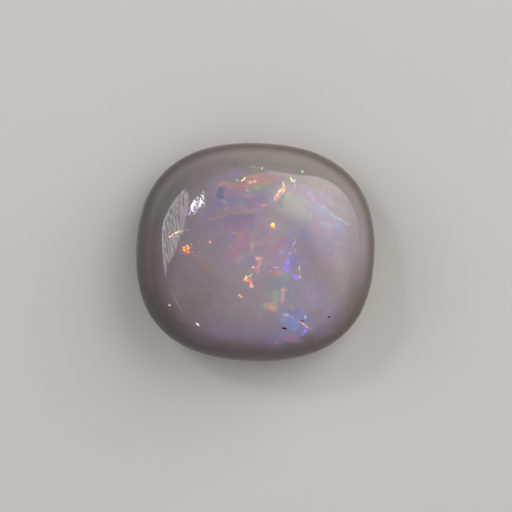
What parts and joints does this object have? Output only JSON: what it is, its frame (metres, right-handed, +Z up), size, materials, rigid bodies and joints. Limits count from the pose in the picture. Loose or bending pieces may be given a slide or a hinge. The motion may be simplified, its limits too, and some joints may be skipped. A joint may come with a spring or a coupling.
{
  "type": "polished opal cabochon",
  "caption": "Polished milky opal cabochon with a cushion outline, a smooth high dome and a flat back to set or rest it on.",
  "frame": {"origin": "the middle of the flat back, on the surface that the stone lies on", "axes": "+X along the longer side of the cushion outline, +Y along its shorter side, +Z up through the crown of the dome"},
  "size_m": [0.014, 0.0128, 0.0054],
  "materials": {
    "opal": "polished"
  },
  "bodies": {
    "root": {"opal": "opal"}
  },
  "joints": []
}
